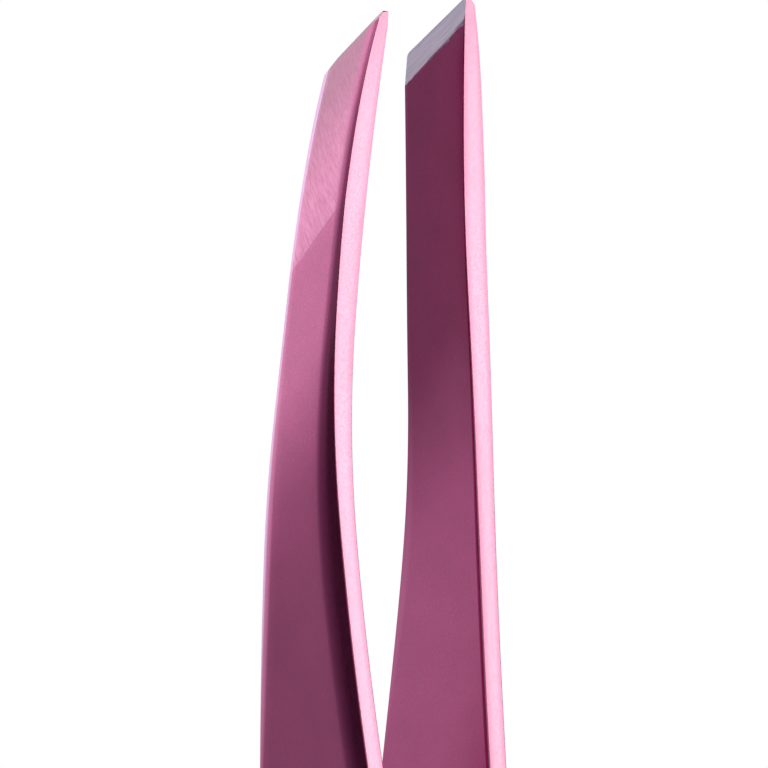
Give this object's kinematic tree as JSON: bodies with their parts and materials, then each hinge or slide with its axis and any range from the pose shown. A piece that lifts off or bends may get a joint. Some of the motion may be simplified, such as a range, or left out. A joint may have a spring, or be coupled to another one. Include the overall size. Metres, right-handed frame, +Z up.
{
  "type": "slant tweezers",
  "caption": "Sprung steel tweezers with enamelled arms, welded at the tail, bowed apart and ground to slanted gripping tips.",
  "frame": {"origin": "middle of the tail end, in the plane where the two tails meet", "axes": "+Z up the tweezers to the points, X the direction in which the arms close, -Y the edge that carries the points, +Y the edge that carries the heels of the slant"},
  "size_m": [0.0098, 0.0104, 0.095],
  "materials": {
    "enamel": "satin metallic",
    "bare_steel": "filed"
  },
  "bodies": {
    "tail": {"left_tail": "enamel", "right_tail": "enamel", "lower_spot_weld": "bare_steel", "upper_spot_weld": "bare_steel"},
    "left_arm": {"left_blade": "enamel"},
    "right_arm": {"right_blade": "enamel"}
  },
  "joints": [
    {"name": "left_squeeze", "type": "hinge", "parent": "tail", "child": "left_arm", "pos_m": [-0.00117, 0, 0.026], "axis": [0, 1, 0], "range_deg": [0, 1.88], "stiffness_Nm_per_rad": 1.5},
    {"name": "right_squeeze", "type": "hinge", "parent": "tail", "child": "right_arm", "pos_m": [0.00117, 0, 0.026], "axis": [0, -1, 0], "range_deg": [0, 1.88], "stiffness_Nm_per_rad": 1.5}
  ],
  "couplings": [
    {"joint": "right_squeeze", "follows": "left_squeeze", "ratio": 1}
  ]
}
